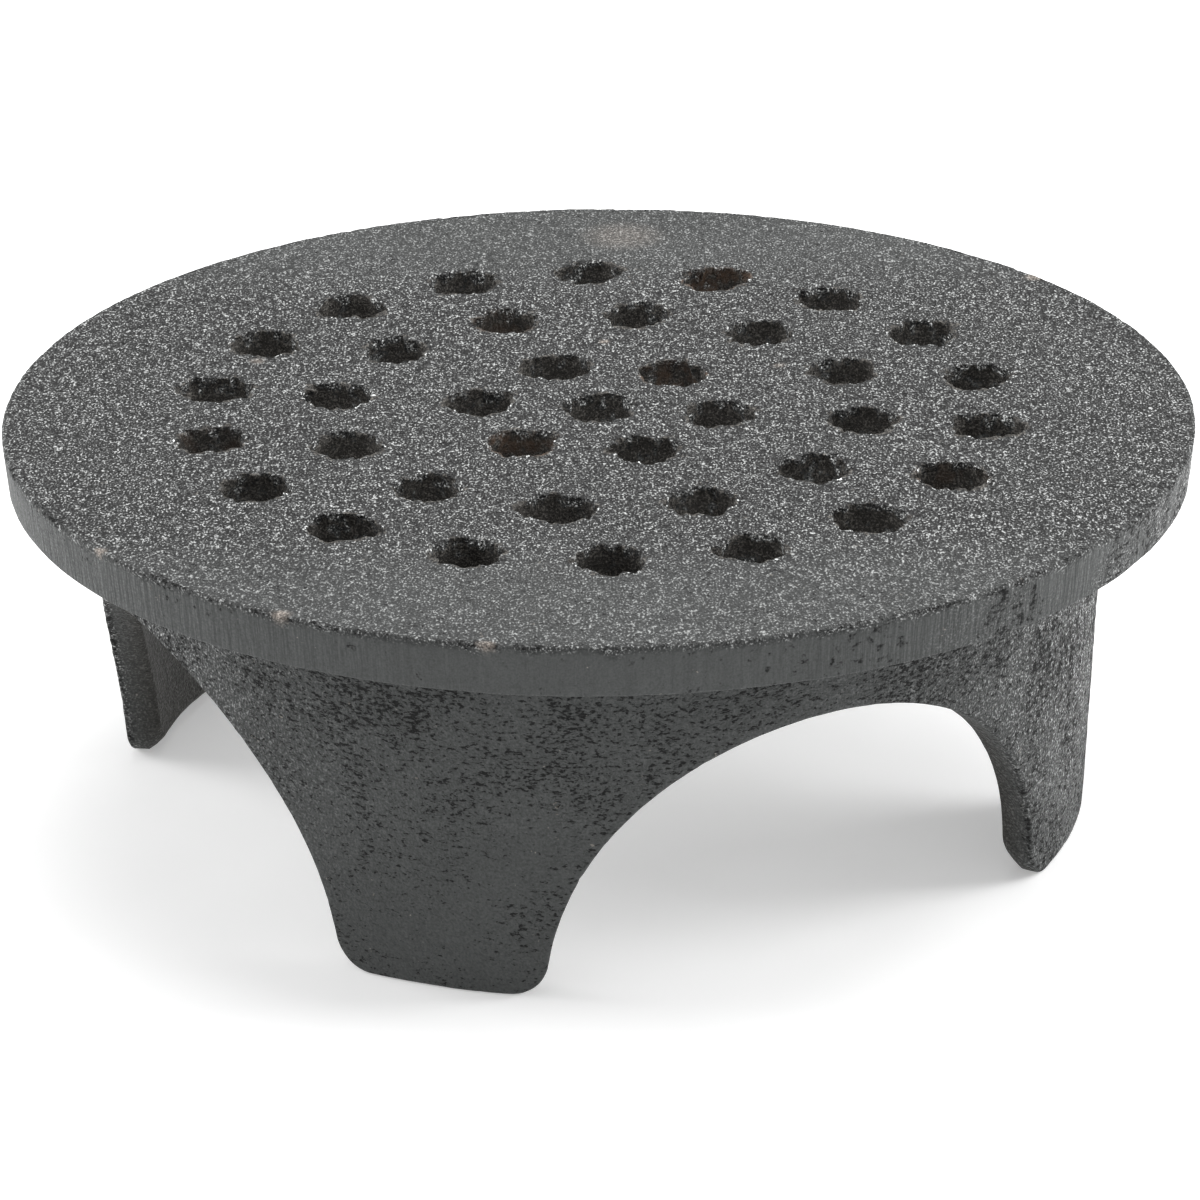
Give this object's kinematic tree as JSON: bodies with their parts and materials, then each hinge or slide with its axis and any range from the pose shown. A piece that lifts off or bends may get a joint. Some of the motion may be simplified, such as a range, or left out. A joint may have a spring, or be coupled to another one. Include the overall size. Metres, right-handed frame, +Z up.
{
  "type": "floor drain grate",
  "caption": "Round perforated cast-iron floor drain grate on a short tapered skirt that is arched into legs, for standing inside a floor drain body.",
  "frame": {"origin": "on the floor plane that the feet stand on, under the plate's centre", "axes": "+Z up through the plate's centre; the arches face +X, +Y, -X and -Y and the legs stand on the diagonals"},
  "size_m": [0.127, 0.127, 0.0437],
  "materials": {
    "black_cast_iron": "rough black sand-cast surface, thinly dip-painted"
  },
  "bodies": {
    "root": {"perforated_plate": "black_cast_iron", "arched_skirt": "black_cast_iron", "leg_front_left": "black_cast_iron", "leg_front_right": "black_cast_iron", "leg_back_left": "black_cast_iron", "leg_back_right": "black_cast_iron"}
  },
  "joints": []
}
